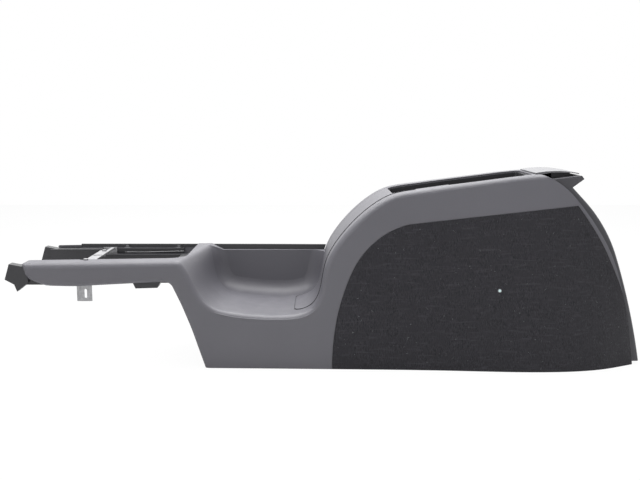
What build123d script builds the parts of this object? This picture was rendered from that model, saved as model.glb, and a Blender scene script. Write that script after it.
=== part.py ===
from build123d import *
import math
import os

# A long moulded floor console for a car, bare of its armrest lid and gear lever trim.
# Sizes are in millimetres. X runs from the front hooks to the rear, Y across the car with the
# open side of the tray at -Y, and Z up from the floor. The finished model is centred at the end.

# Overall heights and stations along the car
ARM_FRONT_X = -492.0
ARM_FRONT_Z = 174.0
CROSSBAR_FRONT_X = -236.0
TRAY_FRONT_X = -246.5
CROSSBAR_REAR_X = -213.0
CROSSBAR_Z = 178.0
ARM_SLOPE = (CROSSBAR_Z - ARM_FRONT_Z) / (CROSSBAR_REAR_X - ARM_FRONT_X)
FAR_WALL_START_X = -190.0
FAR_WALL_Z = 167.0
CREST_REAR_X = 340.0
CREST_REAR_Z = 313.0
LEG_FRONT_X = -204.0
REAR_FOOT_X = 499.0
RIM_TOP_Z = 176.0

# Walls and fits
WALL = 3.5
FIT = 0.3
CLEARANCE = 0.1
EDGE_RADIUS = 8.0
FAR_EDGE_RADIUS = 8.0
FAR_ARM_RADIUS = 6.0

# Plan of the side walls: half the width at the floor and at the reference height
PLAN_REFERENCE_Z = 320.0
SIDE_STATIONS = [
    (-530.0, 88.0, 107.0), (-240.0, 88.0, 107.0), (0.0, 95.0, 93.0), (200.0, 104.0, 76.0),
    (370.0, 110.5, 72.0), (424.0, 102.0, 70.0), (454.0, 91.6, 68.0), (477.5, 80.0, 66.0),
    (505.0, 66.0, 63.0),
]

# Side view of the tray, the ramp behind it and the crest round the bin
CREST_POINTS = [
    (TRAY_FRONT_X, ARM_FRONT_Z + ARM_SLOPE * (TRAY_FRONT_X - ARM_FRONT_X)), (-240.3, 175.8),
    (-235.3, 170.5), (-221.5, 143.0), (-206.5, 117.0), (-187.0, 100.5), (-160.0, 93.0),
    (-90.0, 87.0), (-50.0, 90.5), (-30.0, 99.5), (-18.0, 118.0), (-11.7, 147.0), (-4.5, 176.0),
    (15.0, 210.0), (42.0, 241.0), (78.0, 270.0), (100.0, 281.0), (134.0, 288.0), (200.0, 297.0),
    (258.0, 304.3), (312.0, 311.0), (CREST_REAR_X, CREST_REAR_Z),
]
CREST_REAR_SLOPE = 0.05
FLOOR_POINT = 7
FLOOR_MIDDLE_X = -120.0
BIN_CREST_POINT = 14
REAR_POINTS = [
    (CREST_REAR_X, CREST_REAR_Z), (359.0, 304.5), (379.0, 290.0), (397.0, 271.0), (416.5, 246.0),
    (457.0, 178.0), (481.0, 101.0), (498.0, 14.0), (REAR_FOOT_X, 0.0),
]

# Underside of the front arms and the front edge of the leg, with a radius at each corner
UNDERSIDE_POINTS = [
    (LEG_FRONT_X, 0.0), (-225.0, 66.0), (-240.0, 105.5), (-257.0, 143.5), (-410.0, 135.5),
    (-455.0, 136.5), (-487.0, 150.0), (ARM_FRONT_X, ARM_FRONT_Z), (CROSSBAR_REAR_X, CROSSBAR_Z),
]
UNDERSIDE_RADII = [300.0, 300.0, 14.0, 150.0, 60.0, 18.0, 3.0]

# Tray, its front wall swept back from the near side to the far wall
TRAY_OPEN_Y = -130.0
TRAY_NEAR_Y = -94.0
TRAY_FAR_Y = 84.0
TRAY_SWEEP = 30.0
TRAY_CORNER_RADIUS = 24.0

# Front opening between the arms
OPENING_NEAR_Y = -64.0
OPENING_FAR_Y = 93.0
OPENING_NEAR_RADIUS = 28.0
OPENING_FAR_RADIUS = 5.0
FAR_ARM_RIM_Z = 171.0
FAR_ARM_RIM_START_X = -450.0
FLANGE_NOTCH = (-406.0, -399.0, 5.0)

# Bin opening in the top
BIN_FRONT_X = 101.0
BIN_REAR_X = 329.0
BIN_HALF = 50.0
BIN_CORNER = 8.0
BIN_FLOOR_Z = 150.0
BIN_WALL = 2.5
BIN_FLANGE = 9.0
BIN_RIM_DROP = 3.0
RIM_STEP_FRONT_X = 192.0
RIM_STEP_REAR_X = 314.0
RIM_STEP_DEPTH = 1.8
RIM_STEP_WIDTH = 7.0

# Ramp panel
PANEL_HALF = 57.5
PANEL_FOOT_X = -58.0
PANEL_TOP_X = 138.0
PANEL_RUN = (PANEL_FOOT_X - 22.0, PANEL_TOP_X + 62.0)
PANEL_THICKNESS = 1.8
PANEL_GROOVE = 1.1
PANEL_CORNER = 14.0

# Carpets on the sides
CARPET_THICKNESS = 2.5
CARPET_PROUD = 0.9
CARPET_GAP = 0.4
CARPET_FOOT_Z = 1.0
CARPET_POINTS = [
    (8.5, 68.0), (19.5, 117.0), (31.0, 149.0), (42.0, 172.0), (70.0, 206.0), (94.0, 223.0),
    (126.0, 235.0),
]
CARPET_FRONT_X = 4.0
CARPET_TOP_REAR = (396.0, 264.0)
CARPET_REAR_MARGIN = 7.0
PIN_X = 271.0
PIN_Z = 130.0
PIN_SIDE = 4.0
PIN_HEAD_RADIUS = 3.6
PIN_HEAD = 0.8
PIN_LENGTH = 8.4

# Rear cover, tongue and hinge cap
COVER_POINTS = [(390.0, 293.0), (411.0, 271.0), (466.0, 181.0), (512.0, 5.0)]
COVER_HALF = 66.0
COVER_WALL = 3.0
COVER_EDGE_RADIUS = 5.0
TONGUE_TIP = (407.5, 306.0)
TONGUE_TOP_REAR = (403.5, 311.3)
TONGUE_TOP_FRONT = (363.0, 305.5)
TONGUE_DEPTH = 7.0
SHELL_BACK_HALF = 60.0
SHELL_BACK_TOP_Z = 282.0
SHELL_BACK_FOOT_Z = 12.0
CAP_FRONT_X = 333.0
CAP_REAR_X = 403.0
CAP_HALF = 52.0
CAP_THICKNESS = 2.6
CAP_RISE = 4.7
CAP_CROWN = 41.0
CAP_EDGE = 1.6
CAP_LIP = 3.4
CAP_FOOT = 13.0

# Black carrier inside the front arms
CARRIER_WALL = 3.0
CARRIER_FRONT_X = -500.0
CARRIER_REAR_X = -262.0
CARRIER_BOX_END_X = -410.0
CARRIER_TOP_Z = 169.5
CARRIER_STEP_Z = 160.0
CARRIER_FOOT_Z = 139.0
CARRIER_OUTER_Y = 94.0
CARRIER_STEP_Y = 85.0
CARRIER_INNER_Y = 74.0
CARRIER_BOX_INSET = 2.0
CROSS_MEMBER_DEPTH = 12.0
CROSS_MEMBER_HEIGHT = 18.0
HOOK_POINTS = [
    (-484.0, 168.0), (-511.0, 173.0), (-518.7, 148.0), (-504.0, 140.0), (-499.7, 128.5),
    (-481.0, 143.5),
]
HOOK_OUTER_Y = 96.0
HOOK_WIDTH = 16.0
TAB_POINTS = [(-317.0, 145.0), (-311.5, 132.8), (-276.5, 133.8), (-270.5, 145.0)]

# Steel bridge across the arms
BRIDGE_X = -395.0
BRIDGE_WIDTH = 17.0
BRIDGE_SHEET = 2.0
BRIDGE_TOP_Z = 171.4
BRIDGE_LEG_Y = 87.0
BRIDGE_LEG_WIDTH = 24.0
BRIDGE_FOOT_Z = 111.0
BRIDGE_SLOT_WIDTH = 4.4
BRIDGE_SLOT_TOP_Z = 131.0
BRIDGE_SLOT_FOOT_Z = 116.0
BRIDGE_SLOT_SHIFT = 2.0
BRIDGE_PLATE_END_Y = 52.0
BRIDGE_NECK = 6.0
BRIDGE_TAB_Y = -46.0
BRIDGE_TAB_WIDTH = 10.0
BRIDGE_TAB_DROP = 9.0
BRIDGE_OVAL_LENGTH = 16.0
BRIDGE_OVAL_WIDTH = 6.0
BRIDGE_SCREW_LEFT_Y = -71.0
BRIDGE_SCREW_RIGHT_Y = 44.0

# Spring clips and rim strips
STRIP_WIDTH = 4.0
STRIP_GAP = 0.7
CLIP_STATIONS = (-365.0, -272.0)
CLIP_LENGTH = 10.0
CLIP_WIDTH = 6.0
CLIP_SHEET = 1.2
CLIP_HEIGHT = 5.0

# Armrest bracket, floor brackets and fasteners
ARMREST_PLATE = (3.0, 33.0)
ARMREST_HALF = 44.0
ARMREST_SHEET = 2.5
ARMREST_BOLT_PITCH_X = 18.0
ARMREST_BOLT_PITCH_Y = 64.0
FLOOR_BRACKET_X = 300.0
FLOOR_BRACKET_LENGTH = 44.0
FLOOR_BRACKET_REACH = 26.0
FLOOR_BRACKET_HEIGHT = 32.0
FLOOR_BRACKET_SHEET = 2.0
FLOOR_BOLT_RADIUS = 3.3
SCREW_RADIUS = 2.0
SCREW_HEAD_RADIUS = 4.0
SCREW_HEAD = 2.2
BIN_SCREW_X = (165.0, 321.0)
BIN_SCREW_SHANK = 5.0
BRIDGE_SCREW_SHANK = 9.0
FLOOR_SCREW_SHANK = 3.6
FLOOR_SCREW_Z = 20.0
FLOOR_BOLT_PITCH_X = 24.0
FLOOR_BOLT_PITCH_Y = 176.0

# How far cutting blocks reach: past everything, and just above the surface they cut
FAR_AWAY = 700.0
CUT_PROUD = 6.0


def at(x, z):
    """A point of the side view."""
    return Vector(x, 0, z)


def offset_points(points, inset):
    """Moves each point of an open outline sideways, to its right seen in the XZ plane."""
    moved = []
    last = len(points) - 1
    for index, (x, z) in enumerate(points):
        before = points[max(index - 1, 0)]
        after = points[min(index + 1, last)]
        dx = after[0] - before[0]
        dz = after[1] - before[1]
        length = math.hypot(dx, dz)
        moved.append((x + dz / length * inset, z - dx / length * inset))
    return moved


def slab(face, low_y, high_y):
    """A side-view face given its thickness from low_y to high_y."""
    return Pos(0, low_y, 0) * extrude(face, high_y - low_y, dir=(0, 1, 0))


def polygon_slab(points, low_y, high_y):
    """A closed side-view polygon given its thickness."""
    corners = [at(x, z) for x, z in points]
    return slab(Face(Wire(Polyline(*corners, close=True).edges())), low_y, high_y)


def box(low_x, high_x, low_y, high_y, low_z, high_z):
    """A box by its limits."""
    corner = Box(high_x - low_x, high_y - low_y, high_z - low_z, align=(Align.MIN,) * 3)
    return Pos(low_x, low_y, low_z) * corner


def upright(points, low_z, high_z, radii=None):
    """A closed plan polygon, with a radius at each corner, raised from low_z to high_z."""
    corners = [Vector(x, y, low_z) for x, y in points]
    wire = FilletPolyline(*corners, radius=radii or 0.0, close=True)
    return extrude(Face(Wire(wire.edges())), high_z - low_z, dir=(0, 0, 1))


def plan_face(z, inset):
    """The plan outline of the side walls at one height."""
    share = z / PLAN_REFERENCE_Z
    half = [(x, base + (crown - base) * share - inset) for x, base, crown in SIDE_STATIONS]
    near = Spline(*[Vector(x, -y, z) for x, y in half])
    far = Spline(*[Vector(x, y, z) for x, y in reversed(half)])
    return Face(Wire([near, Line(near @ 1, far @ 0), far, Line(far @ 1, near @ 0)]))


def side_loft(inset):
    """The space between the two leaning side walls."""
    return loft([plan_face(-10.0, inset), plan_face(330.0, inset)])


def upper_points(inset):
    """The side view's upper outline, moved into the wall: the crest's points, then the back's."""
    moved = offset_points(CREST_POINTS + REAR_POINTS[1:], inset)
    return moved[:len(CREST_POINTS)], moved[len(CREST_POINTS) - 1:]


def crest_curve(inset):
    """The curve of the tray, the ramp and the crest."""
    return Spline(*[at(x, z) for x, z in upper_points(inset)[0]],
                  tangents=[(1, 0, ARM_SLOPE), (1, 0, CREST_REAR_SLOPE)], tangent_scalars=[1.0, 1.0])


def split_share(curve, z):
    """How far along the crest curve its wall behind the tray reaches the height z."""
    return share_where(curve, lambda point: point.X < FLOOR_MIDDLE_X or point.Z < z)


def rear_curve(inset):
    """The curve of the shell's back."""
    return Spline(*[at(x, z) for x, z in upper_points(inset)[1]])


def side_face(inset, open_below):
    """The side view of the shell, with the far wall's top in place of the tray."""
    crest = crest_curve(inset)
    rim_z = FAR_WALL_Z - inset
    share = split_share(crest, rim_z)
    ramp = crest.trim(share, 1)
    back = rear_curve(inset)
    if open_below:
        underside = Polyline(
            at(-453.0, -20.0), at(-453.0, 136.5 + inset), at(-485.0 + inset, 148.0 + inset),
            at(ARM_FRONT_X - FAR_AWAY, 148.0 + inset), at(ARM_FRONT_X - FAR_AWAY, ARM_FRONT_Z - inset),
            at(ARM_FRONT_X, ARM_FRONT_Z - inset), at(CROSSBAR_REAR_X - inset, CROSSBAR_Z - inset))
        foot = [Line(back @ 1, at((back @ 1).X, -20.0)), Line(at((back @ 1).X, -20.0), at(-453.0, -20.0))]
    else:
        corners = [at(x, z) for x, z in UNDERSIDE_POINTS]
        underside = FilletPolyline(*corners, radius=UNDERSIDE_RADII)
        foot = [Line(back @ 1, at(*UNDERSIDE_POINTS[0]))]
    top = Polyline(underside @ 1, at(FAR_WALL_START_X - inset, rim_z), ramp @ 0)
    return Face(Wire([*underside.edges(), *top.edges(), *ramp.edges(), back, *foot]))


def tray_profile(inset, y):
    """The tray's side view at one place across the car. Its front wall sweeps back with y."""
    crest = crest_curve(inset)
    middle_share = share_where(crest, lambda point: point.X < FLOOR_MIDDLE_X)
    middle = crest @ middle_share
    front_points = upper_points(inset)[0][:FLOOR_POINT]
    sweep = TRAY_SWEEP * (y - TRAY_NEAR_Y) / (TRAY_FAR_Y - TRAY_NEAR_Y)
    height = front_points[0][1] - middle.Z
    top_line = Vector(1, 0, ARM_SLOPE)
    swept = [at(x, z) + top_line * (sweep * (z - middle.Z) / height) for x, z in front_points]
    front = Spline(*swept, middle, tangents=[top_line, crest % middle_share], tangent_scalars=[1.0, 1.0])
    behind = crest.trim(middle_share, split_share(crest, FAR_WALL_Z - inset))
    high_z = CROSSBAR_Z + FAR_AWAY
    start = front @ 0
    end = behind @ 1
    lid = Polyline(end, at(end.X, high_z), at(start.X, high_z), start)
    return Pos(0, y, 0) * Face(Wire([front, *behind.edges(), *lid.edges()]))


def tray_cutter(inset):
    """The hollow of the tray, open to the near side, with rounded ends at the far wall."""
    cutter = loft([tray_profile(inset, TRAY_OPEN_Y), tray_profile(inset, TRAY_FAR_Y + inset)], ruled=True)
    ends = cutter.edges().filter_by(lambda e: e.center().Y > TRAY_FAR_Y - 1 and e.center().Z < CROSSBAR_Z)
    return fillet(ends, TRAY_CORNER_RADIUS + inset)


def outer_block(inset=0.0):
    """Everything inside the shell's outer faces, sharp edged."""
    return slab(side_face(inset, inset > 0), -FAR_AWAY, FAR_AWAY) & side_loft(inset)


def rounded_outside():
    """The shell's outside with its long edges rounded."""
    body = outer_block() - tray_cutter(0.0)

    def near_run(edge):
        ends = (edge @ 0, edge @ 1)
        return (all(p.Y < -60 and p.X < CREST_REAR_X + 1 for p in ends)
                and max(p.Z for p in ends) > 150 and edge.length > 100)

    body = fillet(body.edges().filter_by(near_run), EDGE_RADIUS)

    def far_run(edge, low, high):
        ends = (edge @ 0, edge @ 1)
        return all(p.Y > 90 or p.X > -10 for p in ends) and all(
            p.Y > 60 and p.Z > 165 and p.X < CREST_REAR_X + 1 for p in ends) and low < edge.length < high

    body = fillet(body.edges().filter_by(lambda e: far_run(e, 350, 500)), FAR_EDGE_RADIUS)
    return fillet(body.edges().filter_by(lambda e: far_run(e, 240, 300)), FAR_ARM_RADIUS)


def crest_skin(top, bottom, low_x, high_x, low_y, high_y):
    """The layer between two depths under the crest curve, cut to a plan rectangle."""
    upper = Spline(*[at(x, z) for x, z in offset_points(CREST_POINTS[FLOOR_POINT:], top)])
    lower = Spline(*[at(x, z) for x, z in offset_points(CREST_POINTS[FLOOR_POINT:], bottom)])
    ring = [upper, Line(upper @ 1, lower @ 1), lower, Line(lower @ 0, upper @ 0)]
    layer = slab(Face(Wire(ring)), low_y, high_y)
    return layer & box(low_x, high_x, low_y, high_y, -10, 400)


def panel_prism(grow):
    """The plan outline of the ramp panel as a tall block."""
    low_x = PANEL_FOOT_X - grow
    high_x = PANEL_TOP_X + grow
    half = PANEL_HALF + grow
    points = [(low_x, -half), (high_x, -half), (high_x, half), (low_x, half)]
    return upright(points, 40.0, 330.0, [PANEL_CORNER, 3.0, 3.0, PANEL_CORNER])


def bin_prism(grow):
    """The plan outline of the bin opening as a tall block."""
    points = [
        (BIN_FRONT_X - grow, -BIN_HALF - grow), (BIN_REAR_X + grow, -BIN_HALF - grow),
        (BIN_REAR_X + grow, BIN_HALF + grow), (BIN_FRONT_X - grow, BIN_HALF + grow),
    ]
    return upright(points, 120.0, 340.0, [BIN_CORNER + grow] * 4)


def carpet_slab(grow):
    """The side view of a carpet, as thick as the car is wide."""
    front_x = CARPET_FRONT_X - grow
    back = [(x - CARPET_REAR_MARGIN + grow, z) for x, z in REAR_POINTS[3:]]
    front = [at(x, z) for x, z in offset_points(CARPET_POINTS, -grow)]
    curve = Spline(at(front_x, CARPET_FOOT_Z - grow), *front)
    top_rear = at(CARPET_TOP_REAR[0] + grow, CARPET_TOP_REAR[1] + grow)
    top_edge = Line(curve @ 1, top_rear)
    low_rear = at(back[-2][0], CARPET_FOOT_Z - grow)
    rear = Spline(top_rear, *[at(x, z) for x, z in back[1:-2]], low_rear)
    ring = [*curve.edges(), *top_edge.edges(), *rear.edges(), Line(low_rear, curve @ 0)]
    return slab(Face(Wire(ring)), -FAR_AWAY, FAR_AWAY)


def carpet_layer(outer, inner, grow):
    """Both carpets' layer on the side walls, from the inset outer to the inset inner."""
    return (side_loft(outer) - side_loft(inner)) & carpet_slab(grow)


def vertical_hole(x, y, radius, low_z, high_z):
    """A round upright block for a hole or a shank."""
    return Pos(x, y, (low_z + high_z) / 2) * Cylinder(radius, high_z - low_z)


def screw(x, y, seat_z, shank):
    """A hexagon head screw standing on seat_z, its shank pointing down."""
    head = Pos(x, y, seat_z) * extrude(RegularPolygon(SCREW_HEAD_RADIUS, 6), SCREW_HEAD)
    return head + vertical_hole(x, y, SCREW_RADIUS, seat_z - shank, seat_z)


def armrest_bolt_places():
    """Centres of the four armrest bolts."""
    middle = (ARMREST_PLATE[0] + ARMREST_PLATE[1]) / 2
    return [(middle + sx * ARMREST_BOLT_PITCH_X / 2, sy * ARMREST_BOLT_PITCH_Y / 2)
            for sx in (-1, 1) for sy in (-1, 1)]


def make_shell():
    """The moulded console body: thin walls, tray, ramp, arms and the frame round the bin."""
    shell = rounded_outside()
    hollow = (slab(side_face(WALL, True), -FAR_AWAY, FAR_AWAY) & side_loft(WALL)) - tray_cutter(WALL)
    shell = shell - hollow
    opening = [
        (ARM_FRONT_X - 50, OPENING_NEAR_Y), (CROSSBAR_FRONT_X, OPENING_NEAR_Y),
        (CROSSBAR_FRONT_X, OPENING_FAR_Y), (ARM_FRONT_X - 50, OPENING_FAR_Y),
    ]
    radii = [1.0, OPENING_NEAR_RADIUS, OPENING_FAR_RADIUS, 1.0]
    shell = shell - upright(opening, 120.0, 220.0, radii)
    notch_x0, notch_x1, notch_depth = FLANGE_NOTCH
    shell = shell - box(notch_x0, notch_x1, OPENING_NEAR_Y - notch_depth, OPENING_NEAR_Y + 1, 150, 200)
    shell = shell - box(FAR_ARM_RIM_START_X, CROSSBAR_FRONT_X, 60, 120, FAR_ARM_RIM_Z, 220)
    shell = shell - bin_prism(0.0)
    recess = crest_skin(-CUT_PROUD, PANEL_THICKNESS + CLEARANCE, *PANEL_RUN, -FAR_AWAY, FAR_AWAY)
    shell = shell - (recess & panel_prism(PANEL_GROOVE))
    step = crest_skin(-CUT_PROUD, RIM_STEP_DEPTH, RIM_STEP_FRONT_X, RIM_STEP_REAR_X,
                      -BIN_HALF - RIM_STEP_WIDTH, -BIN_HALF + 1)
    shell = shell - step
    shell = shell - carpet_layer(-CUT_PROUD, CARPET_THICKNESS - CARPET_PROUD + CLEARANCE, CARPET_GAP)
    back = box(300, FAR_AWAY, -SHELL_BACK_HALF, SHELL_BACK_HALF, SHELL_BACK_FOOT_Z, SHELL_BACK_TOP_Z)
    return shell - back


def make_ramp_panel():
    """The thin panel let into the ramp, forked at the top round the bin opening."""
    skin = crest_skin(0.0, PANEL_THICKNESS, *PANEL_RUN, -FAR_AWAY, FAR_AWAY)
    return (skin & panel_prism(0.0)) - bin_prism(0.0)


def make_carpets():
    """The carpet panels glued to the two sides, each with a pin hole."""
    layer = carpet_layer(-CARPET_PROUD, CARPET_THICKNESS - CARPET_PROUD, 0.0)
    near, far = sorted(layer.solids(), key=lambda solid: solid.center().Y)
    return near - pin_hole(-1), far - pin_hole(1)


def side_half(x, z):
    """Half the width of the shell at one station and height, between the listed stations."""
    plan = Spline(*[Vector(p[0], p[1] + (p[2] - p[1]) * z / PLAN_REFERENCE_Z, 0) for p in SIDE_STATIONS])
    return point_where(plan, lambda point: point.X < x).Y


def point_where(curve, before):
    """The point of a curve at which the test before turns from true to false."""
    return curve @ share_where(curve, before)


def share_where(curve, before, low=0.0, high=1.0):
    """How far along a curve the test before turns from true to false."""
    for _ in range(50):
        middle = (low + high) / 2
        if before(curve @ middle):
            low = middle
        else:
            high = middle
    return middle


def wall_place(side, x, z, inset):
    """A place on a side wall, its Z pointing out of the wall, set in from the outer face."""
    step = 5.0
    half = side_half(x, z)
    slope_x = (side_half(x + step, z) - half) / step
    slope_z = (side_half(x, z + step) - half) / step
    outward = Vector(-slope_x, side, -slope_z).normalized()
    origin = Vector(x, side * half, z) - outward * inset
    return Plane(origin=origin, x_dir=(1, 0, 0), z_dir=outward).location


def crest_place(x, y, inset):
    """A place on the crest, its Z pointing out of the surface, set in from the outer face."""
    crest = crest_curve(0.0)
    share = share_where(crest, lambda point: point.X < x)
    point = crest @ share
    along = crest % share
    outward = Vector(-along.Z, 0, along.X)
    return Plane(origin=Vector(x, y, point.Z) - outward * inset, x_dir=(0, 1, 0), z_dir=outward).location


def pin_hole(side):
    """The hole of a carpet pin through the carpet and the wall behind it."""
    width = PIN_SIDE + 2 * CLEARANCE
    return wall_place(side, PIN_X, PIN_Z, 0) * Box(width, width, 5 * WALL)


def make_carpet_pin(side):
    """A push pin that holds a carpet: a round head outside and a square shank through the wall."""
    shank = Box(PIN_SIDE, PIN_SIDE, PIN_LENGTH, align=(Align.CENTER, Align.CENTER, Align.MAX))
    head = Cylinder(PIN_HEAD_RADIUS, PIN_HEAD, align=(Align.CENTER, Align.CENTER, Align.MIN))
    return wall_place(side, PIN_X, PIN_Z, -CARPET_PROUD - FIT) * (shank + head)


def cover_back(inset):
    """The back of the rear cover, moved into its wall: a straight run, then tangent arcs."""
    points = [at(x, z) for x, z in offset_points(COVER_POINTS, inset)]
    runs = [Line(*points[:2])]
    for point in points[2:]:
        runs.append(TangentArc(runs[-1] @ 1, point, tangent=runs[-1] % 1))
    return runs


def make_rear_cover():
    """The cover behind the bin: a curved back with side flanges and a wedge-shaped tongue on top."""
    shell_back = rear_curve(-FIT)
    foot_z = COVER_POINTS[-1][1]
    start = share_where(shell_back, lambda point: point.Z > TONGUE_TOP_FRONT[1])
    rest = shell_back.trim(start, share_where(shell_back, lambda point: point.Z > foot_z))
    back = cover_back(0.0)
    top = Polyline(rest @ 0, at(*TONGUE_TOP_REAR), at(*TONGUE_TIP), back[0] @ 0)
    outline = [*rest.edges(), *top.edges(), *back, Line(back[-1] @ 1, rest @ 1)]
    cover = slab(Face(Wire(outline)), -COVER_HALF, COVER_HALF)

    def back_rim(edge):
        middle = edge @ 0.5
        beside = [middle - run @ 0.5 for run in back]
        return any(math.hypot(gap.X, gap.Z) < 1 and abs(gap.Y) > COVER_HALF - 1 for gap in beside)

    cover = fillet(cover.edges().filter_by(back_rim), COVER_EDGE_RADIUS)
    inner = cover_back(COVER_WALL)
    ceiling_z = TONGUE_TOP_FRONT[1] - TONGUE_DEPTH
    start, end = inner[0] @ 0, inner[-1] @ 1
    inside = Polyline(
        end, at(end.X, -COVER_WALL), at(CREST_REAR_X, -COVER_WALL), at(CREST_REAR_X, ceiling_z),
        at(start.X - COVER_WALL, ceiling_z + COVER_WALL), start)
    hollow = Face(Wire([*inner, *inside.edges()]))
    return cover - slab(hollow, -COVER_HALF + COVER_WALL, COVER_HALF - COVER_WALL)


def make_hinge_cap():
    """The thin cambered plate over the armrest hinge, resting on the bar behind the bin."""
    seat_z = CREST_REAR_Z + FIT
    top_z = seat_z + CAP_RISE
    under_z = top_z - CAP_THICKNESS
    front_x, rear_x = CAP_FRONT_X, CAP_REAR_X
    crown = at(front_x + CAP_CROWN, top_z)
    top = ThreePointArc(at(front_x, seat_z + CAP_EDGE), crown, at(rear_x, top_z - CAP_LIP))
    under = Polyline(
        at(rear_x, top_z - CAP_LIP - CAP_EDGE), at(rear_x - CAP_FOOT, under_z),
        at(front_x + 2 * CAP_FOOT, under_z), at(front_x + CAP_FOOT, seat_z), at(front_x, seat_z))
    outline = [top, Line(top @ 1, under @ 0), *under.edges(), Line(under @ 1, top @ 0)]
    return slab(Face(Wire(outline)), -CAP_HALF, CAP_HALF)


def below_crest(inset, low_z):
    """The space under the crest curve beside the bin, down to low_z."""
    points = upper_points(inset)[0][BIN_CREST_POINT:]
    curve = Spline(*[at(x, z) for x, z in points])
    start, end = curve @ 0, curve @ 1
    walls = Polyline(end, at(end.X, low_z), at(start.X, low_z), start)
    return slab(Face(Wire([curve, *walls.edges()])), -FAR_AWAY, FAR_AWAY)


def bin_screw_places():
    """The places of the four screws that hold the bin up, on the underside of its flange."""
    inset = WALL + FIT + BIN_WALL + CLEARANCE
    y = BIN_HALF + BIN_FLANGE / 2
    return [crest_place(x, side * y, inset) for x in BIN_SCREW_X for side in (-1, 1)]


def bin_screw_hole():
    """The hole for one bin screw, through the flange and into the rim above it."""
    return vertical_hole(0, 0, SCREW_RADIUS + CLEARANCE, -BIN_WALL, BIN_SCREW_SHANK + FIT)


def make_bin():
    """The storage bin, hung by its flange under the rim of the top opening."""
    body = below_crest(BIN_RIM_DROP, BIN_FLOOR_Z) & bin_prism(-FIT)
    flange = below_crest(WALL + FIT, BIN_FLOOR_Z) - below_crest(WALL + FIT + BIN_WALL, 0.0)
    body = body + (flange & bin_prism(BIN_FLANGE))
    body = body - (below_crest(-20.0, BIN_FLOOR_Z + BIN_WALL) & bin_prism(-FIT - BIN_WALL))
    for place in bin_screw_places():
        body = body - place * bin_screw_hole()
    return body


def make_bin_screws():
    """The four screws of the bin, as one set."""
    upward = Rot(180, 0, 0) * screw(0, 0, 0, BIN_SCREW_SHANK)
    return Compound([place * upward for place in bin_screw_places()])


def rail(side):
    """One side rail of the carrier: a stepped sheet behind, a box in front."""
    def strip(low_x, high_x, inner_y, outer_y, low_z, high_z):
        low_y, high_y = sorted((side * inner_y, side * outer_y))
        return box(low_x, high_x, low_y, high_y, low_z, high_z)

    t = CARRIER_WALL
    end = CARRIER_REAR_X
    mid = CARRIER_BOX_END_X
    front = CARRIER_FRONT_X
    box_outer_y = CARRIER_OUTER_Y - CARRIER_BOX_INSET
    part = strip(mid, end, CARRIER_STEP_Y, CARRIER_OUTER_Y, CARRIER_TOP_Z - t, CARRIER_TOP_Z)
    part += strip(mid, end, CARRIER_STEP_Y, CARRIER_STEP_Y + t, CARRIER_STEP_Z - t, CARRIER_TOP_Z)
    part += strip(mid, end, CARRIER_INNER_Y, CARRIER_STEP_Y + t, CARRIER_STEP_Z - t, CARRIER_STEP_Z)
    part += strip(mid, end, CARRIER_INNER_Y, CARRIER_INNER_Y + t, CARRIER_FOOT_Z, CARRIER_STEP_Z)
    part += strip(front, mid, CARRIER_INNER_Y, CARRIER_OUTER_Y, CARRIER_TOP_Z - t, CARRIER_TOP_Z)
    part += strip(front, mid, CARRIER_INNER_Y, CARRIER_INNER_Y + t, CARRIER_FOOT_Z, CARRIER_TOP_Z)
    part += strip(front, mid, box_outer_y - t, box_outer_y, CARRIER_FOOT_Z, CARRIER_TOP_Z)
    part += strip(mid, mid + t, CARRIER_INNER_Y, box_outer_y, CARRIER_FOOT_Z, CARRIER_TOP_Z)
    part = part & side_loft(WALL + FIT)
    low_y, high_y = sorted((side * (HOOK_OUTER_Y - HOOK_WIDTH), side * HOOK_OUTER_Y))
    part += polygon_slab(HOOK_POINTS, low_y, high_y)
    if side < 0:
        part += polygon_slab(TAB_POINTS, -box_outer_y, -CARRIER_INNER_Y)
    return part


def bridge_leg(side, grow):
    """One leg of the bridge, hanging down inside an arm."""
    low_y, high_y = sorted((side * (BRIDGE_LEG_Y + grow), side * (BRIDGE_LEG_Y - BRIDGE_SHEET - grow)))
    half = BRIDGE_LEG_WIDTH / 2 + grow
    top_z = BRIDGE_TOP_Z + grow * 4
    return box(BRIDGE_X - half, BRIDGE_X + half, low_y, high_y, BRIDGE_FOOT_Z - grow, top_z)


def make_carrier():
    """The black frame inside the arms, with its front hooks, a rear bar and one locating tab."""
    part = rail(-1) + rail(1)
    bar_outer_y = CARRIER_OUTER_Y - CARRIER_BOX_INSET
    bar_foot_z = CARRIER_STEP_Z - CROSS_MEMBER_HEIGHT
    bar = box(CARRIER_REAR_X - CARRIER_WALL, CARRIER_REAR_X + CROSS_MEMBER_DEPTH, -bar_outer_y, bar_outer_y,
              bar_foot_z, CARRIER_STEP_Z)
    groove = box(CARRIER_REAR_X, CARRIER_REAR_X + CROSS_MEMBER_DEPTH + 1, -CARRIER_INNER_Y, CARRIER_INNER_Y,
                 bar_foot_z + CARRIER_WALL, CARRIER_STEP_Z - CARRIER_WALL)
    part += (bar - groove) & side_loft(WALL + FIT)
    part -= bridge_leg(-1, 1.0) + bridge_leg(1, 1.0)
    part -= shell
    return max(part.solids(), key=lambda solid: solid.volume)


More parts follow.
